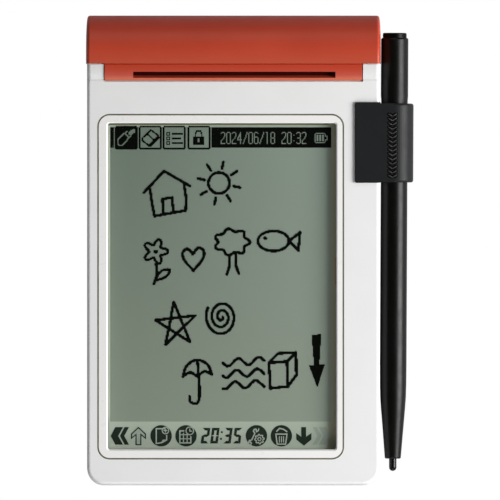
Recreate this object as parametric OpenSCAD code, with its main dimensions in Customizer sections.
// Desk memo pad computer: a pen-driven pocket organiser with a rolled spine,
// a reflective screen and a stylus carried in a clip at its right-hand side.
// Millimetres, +Z up, +Y towards the spine. Origin: centre of the bounding box
// in X and Y, on the surface that the rubber feet stand on.
// Two frames are used. The case frame is level with the desk. The face frame
// (module face) is tilted with the writing face: v runs up the face, w is
// height over the face.

/* [Case] */
// Width of the white case
body_w = 87.8; // [87:0.2:88.6]
// Slope of the writing face, in degrees
tilt = 5; // [4.6:0.1:5.2]
// Wall thickness of the case sides
wall = 1.6; // [1.4:0.1:1.8]
// Thickness of the writing face
face_t = 1.8; // [1.6:0.1:1.9]
// Plan radius of the two front corners
corner_r = 5; // [3.5:0.5:6]
// Rounding of the writing face's outer edges
edge_r = 1.0; // [0.8:0.1:1.2]
// Height of the parting line over the desk
part_z = 6.5; // [6.2:0.1:7]

/* [Spine] */
// Outer radius of the red spine sleeve
spine_r = 12.3; // [12.1:0.1:12.5]
// Radius of the white shoulders beside the tab
ear_r = 11.4; // [11.3:0.1:11.6]
// Half width of the tab
tab_hw = 38.65; // [36:0.1:39]
// Half width of the light slit in the tab
slit_hw = 30.35; // [24:0.05:30.5]

/* [Screen] */
// Width of the visible window
win_w = 68.5; // [66:0.5:68.5]
// Height of the visible window
win_h = 97.9; // [94:0.1:97.9]
// Width of the seal line around the bezel
seal_w = 0.45; // [0.4:0.05:0.6]

/* [Stylus] */
// Barrel radius
pen_r = 4.0; // [3.9:0.05:4.02]
// Inner radius of the clip's loop
loop_r = 4.07; // [4.07:0.01:4.1]

/* [Power] */
// Radius of one battery cell
cell_r = 5.15; // [5:0.05:5.2]

/* [Hidden] */
$fn = 64;
e = 0.01;
hw = body_w / 2;
foot_h = 0.6;
spine_v = 128.5;                 // spine axis, along the face
spine_w = -9.0;                  // spine axis, under the face
spine_z = foot_h + 12.3;         // spine axis over the desk
lip_v = 126.3;                   // where the sleeve's lip ends
spine_hw = 44.25;
slit_x = 0.27;                   // the slit sits a little right of centre
core_r = 10.7;
sleeve_in = 10.85;
slv_wall = 1.4;
zs = spine_z - spine_v * sin(tilt) - spine_w * cos(tilt);
ys = -(spine_v * cos(tilt) - spine_w * sin(tilt) + 12.3) / 2 - 0.05;
spine_y = spine_v * cos(tilt) - spine_w * sin(tilt) + ys;
x_shift = 4.915;                 // half of the overhang of the clip's loop
y_front = ys + 0.37;             // front wall of the lower shell

// window, bezel and seal outlines: [x0, v0, x1, v1]
win = [-3.45 - win_w / 2, 59.45 - win_h / 2, -3.45 + win_w / 2, 59.45 + win_h / 2];
ring = [-40.85, 7.5, 33.2, 111.2];
lcd = [-39.4, 8.6, 32.4, 110.2];
touch_top = -1.9;
touch_bot = -2.7;
lcd_top = -2.9;
lcd_bot = -5.1;
board_top = -7.6;
board_bot = -8.6;

pen_x = 48.3;
pen_w = -5.15;
pen_lean = 0.27;                 // the stylus leans a little outwards at its top
loop_o = 5.75;
clip_v0 = 90.5;
clip_v1 = 114.7;
loop_h = clip_v1 - clip_v0 - 0.5;

cell_z = 7.5;
cell_y = [35.6, 46.4, 57.2];
bay_x = 25.9;
door = [-27.3, 29.8, 27.3, 61.0];
door_t = 1.3;

case_screws_f = [[-36.8, -66.5], [36.8, -66.5]];
case_screws_r = [[-38.4, 46.6], [38.4, 46.6]];
feet = [[-36.2, -56.5], [36.2, -56.5], [-36.2, 35.5], [36.2, 35.5]];
frame_screws = [[36.6, 24], [36.6, 84], [-31, 114.6], [18, 114.6]];
board_screws = [[-38.2, 22], [-38.2, 84], [31.2, 16], [31.2, 90]];
reset_xy = [31, 6];
buzzer_xy = [33.6, 53];

// ---------- frames and helpers ----------
module row() { translate([-x_shift, 0, 0]) children(); }
module face() { translate([0, ys, zs]) rotate([tilt, 0, 0]) children(); }
module fbox(a, b) { translate(a) cube([b[0] - a[0], b[1] - a[1], b[2] - a[2]]); }
// frame on the stylus axis, third axis up the face
module on_pen() {
  translate([pen_x, (clip_v0 + clip_v1) / 2, pen_w]) rotate([0, 0, -pen_lean]) translate([0, -(clip_v0 + clip_v1) / 2, 0])
    rotate([-90, 0, 0]) children();
}
module along_x(v, w) { translate([0, v, w]) rotate([0, 90, 0]) children(); }

// plan outline with four corner radii: [front-left, front-right, back-right, back-left]
module plan(r, q) {
  cs = [[r[0], r[1], 1, 1], [r[2], r[1], -1, 1], [r[2], r[3], -1, -1], [r[0], r[3], 1, -1]];
  difference() {
    translate([r[0], r[1]]) square([r[2] - r[0], r[3] - r[1]]);
    for (i = [0:3]) if (q[i] > 0) corner_cut(cs[i], q[i]);
  }
}
module corner_cut(c, q) {
  difference() {
    translate([c[0] - (c[2] < 0 ? q : 1), c[1] - (c[3] < 0 ? q : 1)]) square([q + 1, q + 1]);
    translate([c[0] + c[2] * q, c[1] + c[3] * q]) circle(q);
  }
}
function grow(r, d) = [r[0] - d, r[1] - d, r[2] + d, r[3] + d];
module slab(r, q, w0, w1) { translate([0, 0, w0]) linear_extrude(w1 - w0) plan(r, [q, q, q, q]); }

// thin strip along a 2D path
function dirs(p) = [for (i = [0:len(p) - 2]) (p[i + 1] - p[i]) / norm(p[i + 1] - p[i])];
function nrm(p, i) = let (d = dirs(p), a = d[max(0, i - 1)], b = d[min(len(d) - 1, i)], s = a + b, u = s / norm(s),
  k = 1 / (u * b)) k * [-u[1], u[0]];
module strip(p, t) {
  polygon(concat([for (i = [0:len(p) - 1]) p[i] + nrm(p, i) * t / 2],
    [for (i = [len(p) - 1:-1:0]) p[i] - nrm(p, i) * t / 2]));
}

// round tube swept along 3D points
function unit(a) = a / norm(a);
function tang(p, i) = unit(p[min(len(p) - 1, i + 1)] - p[max(0, i - 1)]);
function side_of(t, s) = unit(s - t * (s * t));
function frames(p, i = 0, s = [0, 0, 1]) = i == len(p) ? [] :
  let (t = tang(p, i), n = side_of(t, s)) concat([[n, cross(t, n)]], frames(p, i + 1, n));
module tube(p, r, n = 8, s = [0.03, 0.05, 1]) {
  f = frames(p, 0, s);
  m = len(p);
  pts = [for (i = [0:m - 1]) for (k = [0:n - 1]) p[i] + r * (f[i][0] * cos(360 * k / n) + f[i][1] * sin(360 * k / n))];
  sides = [for (i = [0:m - 2]) for (k = [0:n - 1]) for (h = [0, 1]) h == 0 ?
    [i * n + k, (i + 1) * n + (k + 1) % n, i * n + (k + 1) % n] : [i * n + k, (i + 1) * n + k, (i + 1) * n + (k + 1) % n]];
  polyhedron(points = pts, faces = concat([[for (k = [0:n - 1]) k]], sides, [[for (k = [n - 1:-1:0]) (m - 1) * n + k]]), convexity = 6);
}
// smooth curve through hand-chosen points
function cat(a, b, c, d, t) = 0.5 * ((2 * b) + (c - a) * t + (2 * a - 5 * b + 4 * c - d) * t * t + (3 * b - a - 3 * c + d) * t * t * t);
function smooth(p, k = 5) = concat([for (i = [0:len(p) - 2]) for (j = [0:k - 1])
  cat(p[max(0, i - 1)], p[i], p[i + 1], p[min(len(p) - 1, i + 2)], j / k)], [p[len(p) - 1]]);

// red sleeve's outline: slightly crowned ends with a small rounding
module sleeve_body() {
  prof = [[0, 0], [5, 0], [7, -0.03], [9.3, -0.13], [10.8, -0.26], [11.4, -0.35], [11.75, -0.45], [12.0, -0.58], [12.16, -0.74], [12.26, -0.95], [12.3, -1.2]];
  k = spine_r / 12.3;
  along_x(spine_v, spine_w) rotate_extrude()
    polygon(concat([for (q = prof) [q[0] * k, spine_hw + q[1]]], [for (i = [len(prof) - 1:-1:0]) [prof[i][0] * k, -spine_hw - prof[i][1]]]));
}
// body of revolution about the spine axis, in the face frame, with rounded ends
module spine_body(r, half, q) {
  along_x(spine_v, spine_w) rotate_extrude() {
    translate([0, -half + q]) square([r, 2 * (half - q)]);
    translate([0, -half]) square([r - q, 2 * half]);
    for (s = [-1, 1]) translate([r - q, s * (half - q)]) circle(q);
  }
}
// frame on the spine axis whose third axis leans forward by the angle a
module along_spine(a) { face() translate([0, spine_v, spine_w]) rotate([a, 0, 0]) children(); }
module spine_rod(r, half) { along_x(spine_v, spine_w) translate([0, 0, -half]) cylinder(r = r, h = 2 * half); }
module above_parting() { translate([-60, -90, part_z]) cube([120, 180, 40]); }

// block with rounded front corners and a rounded edge of radius q round its lower face
module rounded_block(x, y0, y1, z0, z1, q) {
  translate([0, 0, z0 + q]) linear_extrude(z1 - z0 - q) plan([-x, y0, x, y1], [corner_r, corner_r, 0, 0]);
  translate([0, 0, z0]) linear_extrude(q + 0.5) plan([-x + q, y0 + q, x - q, y1], [corner_r - q, corner_r - q, 0, 0]);
  for (s = [-1, 1]) {
    translate([s * (x - q), y0 + corner_r, z0 + q]) rotate([-90, 0, 0]) cylinder(r = q, h = y1 - y0 - corner_r);
    translate([s * (x - corner_r), y0 + corner_r, z0 + q]) rotate([0, 0, s > 0 ? -90 : 180]) rotate_extrude(angle = 90)
      intersection() { translate([corner_r - q, 0]) circle(q); translate([0, -q]) square([corner_r, 2 * q]); }
  }
  translate([-x + corner_r, y0 + q, z0 + q]) rotate([0, 90, 0]) cylinder(r = q, h = 2 * (x - corner_r));
}

// ---------- upper shell ----------
module upper_envelope() {
  intersection() {
    union() {
      face() mirror([0, 0, 1]) rounded_block(hw, 0, lip_v, 0, 26, edge_r);
      face() intersection() {
        spine_body(ear_r, hw, 1.2);
        fbox([-60, 112, -20], [60, lip_v, 6]);
      }
      face() spine_rod(core_r, hw - slv_wall - 0.1);
    }
    above_parting();
  }
}
// shallow groove that sets off the sleeve's lip, down to the radius r
module lip_groove(r, t) {
  difference() {
    fbox([-60, lip_v - t, 0], [60, lip_v + 0.001, 6]);
    spine_rod(r, 60);
  }
}
module boss(p, z0, z1, r) { translate([p[0], p[1], z0]) cylinder(r = r, h = z1 - z0); }

module front_cover() color("gainsboro") difference() {
  union() {
    difference() {
      upper_envelope();
      face() translate([0, 0, -30]) linear_extrude(30 - face_t)
        plan([-hw + wall, wall, hw - wall, spine_v - 3.2], [corner_r - wall, corner_r - wall, 0, 0]);
      face() spine_rod(core_r - 1.5, hw - slv_wall - 1.6);
      // window for the bezel, with a ledge over the bezel's flange
      face() slab(ring, 3.75, -face_t - 1, 3);
    }
    intersection() {
      union() {
        for (p = case_screws_f) boss(p, part_z + 0.0, 14, 2.5);
        for (p = case_screws_r) boss(p, 9, 26, 2.6);
        face() for (p = frame_screws) translate([p[0], p[1], -2.9]) cylinder(r = 1.7, h = 2);
        face() for (x = [-32.4, 32.4]) translate([x, 123.6, -4.8]) union() {
          cylinder(r = 1.3, h = 3.6);
          translate([0, 0, -1.1]) cylinder(r = 0.55, h = 1.2);
        }
        // pad behind the clip's notch
        face() fbox([hw - 3.2, 88.6, -10.75], [hw - wall + 0.2, 116.6, -face_t + 0.2]);
      }
      upper_envelope();
    }
  }
  // channel that takes the tab, and the slot for its light guide
  face() fbox([-tab_hw - 0.25, 120.85, -0.8], [tab_hw + 0.25, 129.2, 6]);
  face() fbox([slit_x - slit_hw - 0.15, 122.4, -4], [slit_x + slit_hw + 0.15, 124.6, 1]);
  face() lip_groove(core_r + 0.02, 0.3);
  // notch in the right-hand wall for the pen clip, with two peg slots
  face() fbox([hw - wall, clip_v0 + 0.05, -10.4], [hw + 3, clip_v1 - 0.2, 3]);
  for (v = [97.2, 108]) face() fbox([hw - 4, v - 2.1, -5.6], [hw + 3, v + 2.1, -3.0]);
  // snap windows for the sleeve
  for (x = [-26, 26]) translate([x - 3.2, spine_y + 8, 9.4]) cube([6.4, 4, 2.4]);
  for (p = concat(case_screws_f, case_screws_r)) boss(p, 0, p[1] < 0 ? 9.2 : 16.5, 1.02);
  face() for (p = frame_screws) translate([p[0], p[1], -3]) cylinder(r = 0.72, h = 2.2);
}

// ---------- screen ----------
module screen_bezel() color("white") face() difference() {
  union() {
    slab(grow(ring, -seal_w - 0.01), 3.75 - seal_w, touch_top, 0);
    difference() {
      slab(grow(ring, 0.6), 4.35, -2.6, touch_top);
      slab(grow(lcd, 0.15), 0, -3, touch_top + 0.001);
    }
  }
  slab(win, 0.8, -3, 1);
  // bevel round the window
  hull() {
    slab(win, 0.8, -0.4, -0.39);
    slab(grow(win, 0.4), 1.0, 0, 0.02);
  }
}
module bezel_seal() color("darkkhaki") face() difference() {
  slab(ring, 3.75, -1.2, -0.12);
  slab(grow(ring, -seal_w), 3.75 - seal_w, -2, 1);
}
module touch_panel() color([0.8, 0.9, 0.85, 0.3]) face() slab(lcd, 0.6, touch_bot, touch_top);
module touch_gasket() color("dimgray") face() difference() {
  slab(lcd, 0.6, lcd_top, touch_bot);
  slab(grow(win, 0.6), 0.6, -4, -2);
  fbox([30, 59.6, -4], [34, 68.4, -2]);
}
module lcd_panel() color("darkseagreen") face() union() {
  slab(lcd, 0.3, lcd_bot, lcd_top - 0.9);
  slab([lcd[0], lcd[1] + 1.4, lcd[2], lcd[3]], 0.3, lcd_top - 0.9, lcd_top);
}
module lcd_frame() color("lightgray") face() difference() {
  union() {
    slab([-41.2, 6.7, 34.1, 112], 1, -5.8, -2.7);
    for (p = frame_screws) translate([0, 0, -4.1]) linear_extrude(1.2) union() {
      translate([p[0], p[1]]) circle(2.1);
      if (p[0] > 34) translate([33.6, p[1] - 2.1]) square([p[0] - 33.6, 4.2]);
      else translate([p[0] - 2.1, 111.5]) square([4.2, p[1] - 111.5]);
    }
    for (p = board_screws) translate([p[0], p[1], board_top]) cylinder(r = 1.9, h = 2.2);
  }
  slab(grow(lcd, 0.15), 0, lcd_bot, 0);
  slab(grow(lcd, -4.2), 1, -7, 0);
  fbox([31, 58.8, -6], [40, 69.2, 0]);
  for (p = frame_screws) translate([p[0], p[1], -5]) cylinder(r = 0.9, h = 4);
  for (p = board_screws) translate([p[0], p[1], -8]) cylinder(r = 0.72, h = 2.55);
}
module lcd_flex() color("orange") face() translate([-16, 0, 0]) rotate([90, 0, 90]) linear_extrude(26)
  strip([[14.2, -5.18], [20.6, -5.18], [22, -5.8], [22.5, -6.7], [24, -7.1], [27.4, -7.1]], 0.14);
module touch_flex() color("orange") face() translate([0, 68, 0]) rotate([90, 0, 0]) linear_extrude(8)
  strip([[30.6, -2.8], [34.6, -2.8], [35.1, -3.3], [35.1, -6.6], [34.6, -7.1], [31.4, -7.1]], 0.14);
module screw(head_r, head_h, r, len, socket) difference() {
  union() {
    cylinder(r = head_r, h = head_h);
    translate([0, 0, head_h - e]) cylinder(r = r, h = len);
  }
  for (a = [0, 90]) rotate([0, 0, a]) translate([-head_r * 0.62, -socket / 2, -1]) cube([head_r * 1.24, socket, 1 + head_h * 0.5]);
}
module frame_screws_group() color("silver") face() for (p = frame_screws)
  translate([p[0], p[1], -4.9]) screw(1.5, 0.8, 0.7, 2.7, 0.35);
module board_screws_group() color("silver") face() for (p = board_screws)
  translate([p[0], p[1], board_bot - 0.8]) screw(1.5, 0.8, 0.7, 2.5, 0.35);

// ---------- electronics ----------
module main_board() color("darkgreen") face() difference() {
  slab([-40.6, 12, 39.6, 92], 1, board_bot, board_top);
  for (p = board_screws) translate([p[0], p[1], -10]) cylinder(r = 0.85, h = 4);
  fbox([35.4, 80.5, -10], [42, 87.5, -6]);
  fbox([34.2, 20.5, -10], [39.1, 27.5, -6]);
}
// processor, display driver, memory, regulator and passives on the board
module board_chips() color([0.12, 0.12, 0.13]) face() {
  fbox([-12, 46, board_top], [0, 58, board_top + 1.0]);
  fbox([10, 44, board_top], [20, 51, board_top + 0.9]);
  fbox([-30, 62, board_top], [-18, 70, board_top + 0.9]);
  fbox([6, 70, board_bot - 1.4], [11, 76, board_bot]);
  fbox([-26, 44, board_bot - 1.1], [-18, 50, board_bot]);
  for (i = [0:5]) fbox([-34 + 3.2 * i, 38, board_top], [-32.4 + 3.2 * i, 38.9, board_top + 0.5]);
  for (i = [0:5]) fbox([4 + 2.6 * i, 60, board_top], [5.6 + 2.6 * i, 60.9, board_top + 0.5]);
}
module board_connectors() color("ivory") face() {
  fbox([-17, 24.2, board_top], [11, 28.4, board_top + 0.4]);
  fbox([-17, 27.45, board_top + 0.4], [11, 28.4, board_top + 1.2]);
  fbox([28.4, 59.2, board_top], [31.35, 68.8, board_top + 1.2]);
  fbox([-8, 85.6, board_bot - 3], [2, 90, board_bot]);
  fbox([16, 84.8, board_bot - 3], [23, 89.2, board_bot]);
}
module crystal_can() color("silver") face() translate([-3, 64, board_top]) linear_extrude(0.9) union() {
  translate([-2.2, -1.6]) square([4.4, 3.2]);
  for (s = [-1, 1]) translate([2.2 * s, 0]) circle(1.6);
}
module reset_switch() color("silver") face() union() {
  fbox([reset_xy[0] - 1.7, 74.5, board_bot - 1.2], [reset_xy[0] + 1.7, 77.9, board_bot]);
  translate([reset_xy[0], 76.2, board_bot - 1.7]) cylinder(r = 0.8, h = 0.6);
}
module led_board() color("darkgreen") face() difference() {
  fbox([-34, 120.8, -5.6], [34, 126.4, -4.8]);
  for (x = [-32.4, 32.4]) translate([x, 123.6, -6]) cylinder(r = 0.6, h = 2);
}
module alarm_leds() color("white") face() for (x = [-22.5, -7.5, 7.5, 22.5])
  fbox([x - 1.2, 122.8, -4.8], [x + 1.2, 124.4, -3.8]);
module light_guide() color([0.25, 0.08, 0.06, 0.9]) face() union() {
  fbox([slit_x - slit_hw + 0.1, 122.55, -3.6], [slit_x + slit_hw - 0.1, 124.45, -0.85]);
  for (x = [slit_x - slit_hw + 0.1, slit_x + slit_hw - 3.1]) fbox([x, 123.05, -3.6], [x + 3, 125.2, -2.6]);
}
module buzzer() color("black") translate([buzzer_xy[0], buzzer_xy[1], 0]) difference() {
  translate([0, 0, 2.2]) cylinder(r = 4.9, h = 3.6);
  translate([0, 0, 2.1]) cylinder(r = 0.9, h = 1.2);
}

// ---------- lower shell ----------
module lower_envelope() {
  rounded_block(hw, y_front, spine_y, foot_h, part_z, 1.5);
  intersection() {
    face() sleeve_body();
    translate([-60, spine_y - 0.5, foot_h]) cube([120, 40, part_z - foot_h]);
  }
}
module rear_cover() color("whitesmoke") difference() {
  union() {
    difference() {
      lower_envelope();
      translate([0, 0, foot_h + wall]) linear_extrude(20)
        plan([-hw + wall, y_front + wall, hw - wall, spine_y + 0.2], [corner_r - wall, corner_r - wall, 0, 0]);
      intersection() {
        face() spine_rod(spine_r - 1.5, hw - wall - 0.2);
        translate([-60, spine_y - 0.6, foot_h + wall]) cube([120, 40, 20]);
      }
    }
    // locating rim inside the upper shell
    intersection() {
      difference() {
        union() {
          translate([0, 0, part_z - 1.5]) linear_extrude(2.6)
            plan([-hw + wall + 0.1, y_front + wall + 0.1, hw - wall - 0.1, spine_y - 6], [corner_r - wall, corner_r - wall, 0, 0]);
          translate([0, 0, part_z - 1.5]) linear_extrude(1.5 - e)
            plan([-hw + wall - 0.4, y_front + wall - 0.4, hw - wall + 0.4, spine_y - 6], [corner_r - wall, corner_r - wall, 0, 0]);
        }
        translate([0, 0, part_z - 3]) linear_extrude(6)
          plan([-hw + wall + 0.9, y_front + wall + 0.9, hw - wall - 0.9, spine_y], [corner_r - wall - 0.8, corner_r - wall - 0.8, 0, 0]);
        for (p = case_screws_f) boss(p, 0, 20, 2.7);
      }
      translate([-60, -90, 0]) cube([120, 180, 20]);
    }
    // battery bay
    difference() {
      translate([-bay_x - 1.3, 29.2, 1.9]) cube([2 * bay_x + 2.6, 34.2, 11.6]);
      translate([-bay_x, 30.3, 0]) cube([2 * bay_x, 32.2, 12.75]);
      face() difference() {
        fbox([-50, 118, -30], [50, 150, 0]);
        spine_rod(spine_r - 0.8, 60);
      }
    }
    for (y = [41.0, 51.8]) for (x = [-15, 11]) translate([x, y - 0.35, 11.0]) cube([4, 0.7, 2.1]);
    for (p = case_screws_f) boss(p, foot_h, part_z, 2.6);
    for (p = case_screws_r) boss(p, foot_h, 9, 2.6);
    translate([buzzer_xy[0], buzzer_xy[1], 2]) difference() {
      cylinder(r = 5.9, h = 2.4);
      translate([0, 0, -1]) cylinder(r = 5.0, h = 5);
      translate([-1, -7, -1]) cube([2, 14, 5]);
    }
    // guide collar of the reset button
    translate([reset_xy[0], reset_xy[1], 2]) cylinder(r = 3, h = 0.2 + e);
  }
  // opening and pocket of the battery door
  translate([-bay_x + 0.3, 31, -1]) cube([2 * bay_x - 0.6, 29, 4]);
  translate([door[0] - 0.15, door[1] - 0.15, -1]) cube([door[2] - door[0] + 0.3, door[3] - door[1] + 0.3, 1.95 + 1]);
  // slots for the door's tongues
  for (x = [-17, 11]) {
    translate([x - 0.3, 27.2, 2.25]) cube([6.6, 5, 2.0]);
    translate([x - 0.3, 29.65, 1.9]) cube([6.6, 2.5, 1]);
  }
  // slots for the terminals of the end contacts
  translate([-bay_x - 2, 34.4, 9.5]) cube([2.1, 2.4, 0.9]);
  translate([bay_x - 0.1, 56.0, 9.1]) cube([2.1, 2.4, 0.9]);
  // thumb notch at the latch
  translate([-7, 59, -1]) cube([14, 3.6, 3.0]);
  for (p = concat(case_screws_f, case_screws_r)) { boss(p, 0, 2.6, 2.1); boss(p, 0, 12, 1.15); }
  for (p = feet) boss(p, 0, foot_h + 0.8, 4.6);
  translate([reset_xy[0], reset_xy[1], 0]) cylinder(r = 1.4, h = 5);
  translate([reset_xy[0], reset_xy[1], 0]) cylinder(r = 2.3, h = 0.9);
  for (a = [0:60:300]) translate([buzzer_xy[0] + 2 * cos(a), buzzer_xy[1] + 2 * sin(a), 0]) cylinder(r = 0.5, h = 4);
  translate([buzzer_xy[0], buzzer_xy[1], 0]) cylinder(r = 0.5, h = 4);
  translate([-22, -44, 0]) cube([44, 26, foot_h + 0.12]);
}
module battery_door() color("whitesmoke") union() {
  intersection() {
    difference() {
      translate([door[0], door[1], foot_h]) cube([door[2] - door[0], door[3] - door[1], door_t]);
      // U-shaped slot that frees the latch
      difference() {
        translate([-5.4, 55.2, 0]) cube([10.8, 8, 4]);
        translate([-4.9, 55, 0]) cube([9.8, 9, 4]);
      }
      for (i = [0:2]) translate([-8, 38 + 1.6 * i, 0]) cube([16, 0.8, foot_h + 0.3]);
    }
    union() {
      translate([-60, 0, foot_h]) cube([120, spine_y, 10]);
      face() spine_rod(spine_r, 60);
    }
  }
  for (x = [-17, 11]) translate([x, 28.4, 1.9 - e]) union() {
    translate([0, 1.5, 0]) cube([6, 1.7, 1.4]);
    translate([0, 0, 0.45]) cube([6, 3.2, 0.95]);
  }
  // latch rib and foam strip seat
  translate([-4.9, 58.2, 1.9 - e]) cube([9.8, 1.2, 0.4]);
}
module cell(y, flip) translate([flip ? 0.6 : -0.6, y, cell_z]) rotate([0, flip ? -90 : 90, 0]) {
  translate([0, 0, -21.6]) cylinder(r = cell_r, h = 43.2);
  translate([0, 0, 21.6 - e]) cylinder(r = 1.9, h = 1.1);
}
module battery_front() color("steelblue") cell(cell_y[0], false);
module battery_middle() color("steelblue") cell(cell_y[1], true);
module battery_rear() color("steelblue") cell(cell_y[2], false);
// minus ends: coil springs on plates; plus ends: flat plates
function cone_spring(x, y, s) = [for (i = [0:48]) [x + s * (0.3 + 3.05 * i / 48), y + (3.6 - 1.6 * i / 48) * cos(22.5 * i), cell_z + (3.6 - 1.6 * i / 48) * sin(22.5 * i)]];
module battery_springs() color("silver") for (i = [0:2]) {
  s = (i == 1) ? -1 : 1;
  x = -s * bay_x;
  translate([min(x, x + s * 0.35), cell_y[i] - 4.2, cell_z - 4.4]) cube([0.35, 8.4, 8.8]);
  tube(cone_spring(x, cell_y[i], s), 0.28, 6, [1, 0.1, 0]);
  if (i == 0) translate([x - 2.65, cell_y[0] - 1, 9.8]) cube([3.0, 2, 0.3]);
}
module battery_contacts() color("silver") for (i = [0:2]) {
  s = (i == 1) ? -1 : 1;
  x = s * bay_x;
  translate([min(x, x - s * 0.35), cell_y[i] - 4.2, cell_z - 4.4]) cube([0.35, 8.4, 8.8]);
  difference() {
    translate([x - s * 0.35, cell_y[i], cell_z]) rotate([0, -90 * s, 0]) cylinder(r1 = 2.6, r2 = 1.8, h = 3.3);
  }
  if (i == 2) translate([x - 0.35, cell_y[2] - 1, 9.4]) cube([3.0, 2, 0.3]);
}
// pairs of leads from the bay and the buzzer to the board
module battery_leads() color("firebrick") for (k = [0, 1])
  tube(k == 0 ? smooth([[-4.4, 20.1, 8.5], [-5.4, 23.6, 8.9], [-9.4, 26.6, 9.5], [-15, 27.9, 10.0], [-21, 28.0, 10.2], [-25.2, 28.0, 10.2], [-27.9, 28.6, 10.1], [-28.7, 31.0, 10.0], [-28.5, 34.2, 10.0]], 4)
    : smooth([[-1.6, 20.1, 8.5], [-0.4, 23.6, 8.9], [3.6, 26.6, 9.5], [9.5, 28.0, 10.4], [15.5, 28.2, 11.3], [21, 28.1, 11.4], [25.2, 28.1, 11.2], [27.9, 28.6, 10.9], [28.7, 31, 10.6], [28.5, 37, 10.1], [28.5, 43.5, 9.8], [28.5, 50, 9.6], [28.4, 55.9, 9.5]], 4), 0.42, 8);
module buzzer_leads() color("black") for (k = [0, 1])
  tube(smooth([[18 + 2.4 * k, 19.3, 8.4], [18.6 + 2.4 * k, 23.0 - 0.4 * k, 8.7], [23.4 + 2.4 * k, 27.0 - 0.6 * k, 8.7], [27.6 + 2.2 * k, 29.0 - 0.8 * k, 8.4], [30.0 + 1.6 * k, 33.4, 7.9], [30.6 + 1.8 * k, 38.6, 7.3], [31.0 + 2.0 * k, 43.6, 6.9], [32.0 + 2.0 * k, 47.4, 6.5], [32.6 + 2.0 * k, 50.6, 6.1]], 4), 0.4, 8);
module case_screws_group() color("silver") {
  for (p = case_screws_f) translate([p[0], p[1], 1.2]) screw(1.9, 1.4, 1.0, 6.0, 0.5);
  for (p = case_screws_r) translate([p[0], p[1], 1.2]) screw(1.9, 1.4, 1.0, 13.0, 0.5);
}
module rubber_feet() color("dimgray") for (p = feet) translate([p[0], p[1], 0]) union() {
  cylinder(r1 = 4.1, r2 = 4.5, h = 0.4);
  translate([0, 0, 0.4 - e]) cylinder(r = 4.5, h = 1.0 + e);
}
module rating_label() color("silver") translate([-21.8, -43.8, foot_h + 0.02]) cube([43.6, 25.6, 0.1]);

// ---------- spine ----------
module spine_cover() color("tomato") difference() {
  union() {
    intersection() {
      difference() {
        face() sleeve_body();
        face() spine_rod(sleeve_in, hw - slv_wall);
      }
      face() fbox([-60, lip_v, -30], [60, 160, 20]);
      above_parting();
    }
    // tab that lies between the white shoulders
    face() intersection() {
      spine_rod(ear_r + 0.3, tab_hw);
      translate([0, 0, -0.75]) linear_extrude(7) plan([-tab_hw, 121.15, tab_hw, 128.6], [0.5, 0.5, 0, 0]);
    }
    // snap blocks
    for (x = [-26, 26]) intersection() {
      translate([x - 3, spine_y + 9, 9.6]) cube([6, 3, 2.0]);
      face() difference() {
        spine_rod(sleeve_in + 0.2, 60);
        spine_rod(core_r - 0.9, 60);
      }
    }
  }
  // slit, cut square to the tab's curved surface
  along_spine(28.8) translate([slit_x - slit_hw, -1.06, 8.4]) cube([2 * slit_hw, 2.12, 6]);
  face() intersection() {
    lip_groove(ear_r - 0.1, 0.35);
    fbox([-tab_hw - 0.05, 120, 0], [tab_hw + 0.05, 128, 6]);
  }
}

// ---------- controls ----------
module reset_button() color("gray") translate([reset_xy[0], reset_xy[1], 0]) union() {
  translate([0, 0, 1.1]) cylinder(r = 1.3, h = 5.25);
  translate([0, 0, 2.25]) cylinder(r = 2.1, h = 0.8);
}

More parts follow.
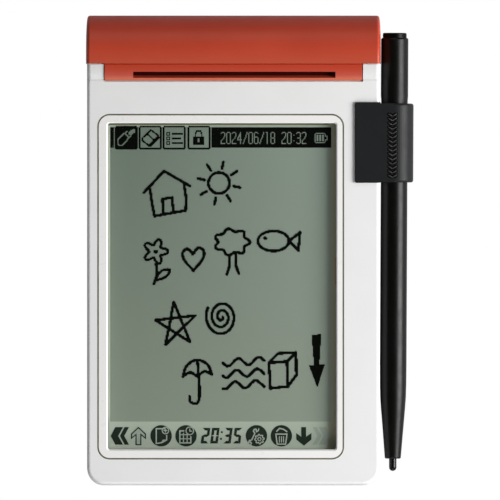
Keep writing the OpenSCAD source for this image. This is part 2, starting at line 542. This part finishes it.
// ---------- stylus and clip ----------
module pen_clip() color([0.15, 0.15, 0.16]) face() difference() {
  union() {
    // plate that lies on the writing face
    translate([0, 0, 0.06]) linear_extrude(pen_w + loop_o - 0.06) union() {
      plan([36.4, clip_v0, 44.2, clip_v1], [0.6, 0.3, 0.3, 0.6]);
      translate([43, clip_v0 + 0.15]) square([pen_x - 43, loop_h]);
    }
    // loop round the barrel, with rounded outer rims
    on_pen() translate([0, 0, clip_v0 + 0.15]) rotate_extrude() union() {
      square([loop_o - 0.7, loop_h]);
      translate([0, 0.7]) square([loop_o, loop_h - 1.4]);
      for (h = [0.7, loop_h - 0.7]) translate([loop_o - 0.7, h]) circle(0.7);
    }
    // web between the barrel and the case
    fbox([hw - wall + 0.12, clip_v0 + 0.3, -8.6], [pen_x, clip_v1 - 0.45, 0.1]);
    // pegs that plug into the case
    for (v = [97.2, 108]) fbox([hw - 3.6, v - 2.0, -5.5], [hw - wall + 0.2, v + 2.0, -3.1]);
  }
  on_pen() translate([0, 0, 80]) cylinder(r = loop_r, h = 50);
  // the web's lower corner follows the loop
  difference() {
    fbox([hw - 0.4, 80, -12], [pen_x + 8, 125, pen_w]);
    on_pen() translate([0, 0, 79]) cylinder(r = loop_o, h = 50);
  }
}
module stylus_barrel() color([0.1, 0.1, 0.1]) face() on_pen() difference() {
  rotate_extrude() polygon([[0, 7.7], [2.05, 7.7], [2.3, 7.8], [2.42, 8.05], [2.9, 14], [3.62, 22.6], [3.86, 26.2],
    [3.96, 30], [pen_r, 36], [pen_r, 115.2], [pen_r + 0.1, 116.6], [pen_r + 0.1, 133.6], [pen_r - 0.15, 134], [0, 134]]);
  translate([0, 0, 0]) cylinder(r = 1.13, h = 20);
  translate([0, 0, 19.9]) cylinder(r = 2.2, h = 120);
}
module stylus_tip() color([0.12, 0.12, 0.12]) face() on_pen() union() {
  translate([0, 0, 5.1]) cylinder(r = 1.12, h = 12.6);
  translate([0, 0, 5.12]) intersection() {
    sphere(r = 1.12);
    translate([-2, -2, -2]) cube([4, 4, 2]);
  }
}
module stylus_cap() color([0.08, 0.08, 0.08]) face() on_pen() union() {
  translate([0, 0, 134]) cylinder(r = 3.58, h = 1.3);
  translate([0, 0, 135.3 - e]) cylinder(r1 = 3.58, r2 = 3.33, h = 0.25);
  translate([0, 0, 128]) cylinder(r = 2.18, h = 6.1);
}

row() front_cover();
row() screen_bezel();
row() bezel_seal();
row() touch_panel();
row() touch_gasket();
row() lcd_panel();
row() lcd_frame();
row() lcd_flex();
row() touch_flex();
row() frame_screws_group();  // frame_screws
row() main_board();
row() board_chips();
row() board_connectors();
row() crystal_can();
row() reset_switch();
row() board_screws_group();  // board_screws
row() led_board();
row() alarm_leds();
row() light_guide();
row() buzzer();
row() rear_cover();
row() battery_door();
row() battery_front();
row() battery_middle();
row() battery_rear();
row() battery_springs();
row() battery_contacts();
row() battery_leads();
row() buzzer_leads();
row() case_screws_group();  // case_screws
row() rubber_feet();
row() rating_label();
row() spine_cover();
row() reset_button();
row() pen_clip();
row() stylus_barrel();
row() stylus_tip();
row() stylus_cap();
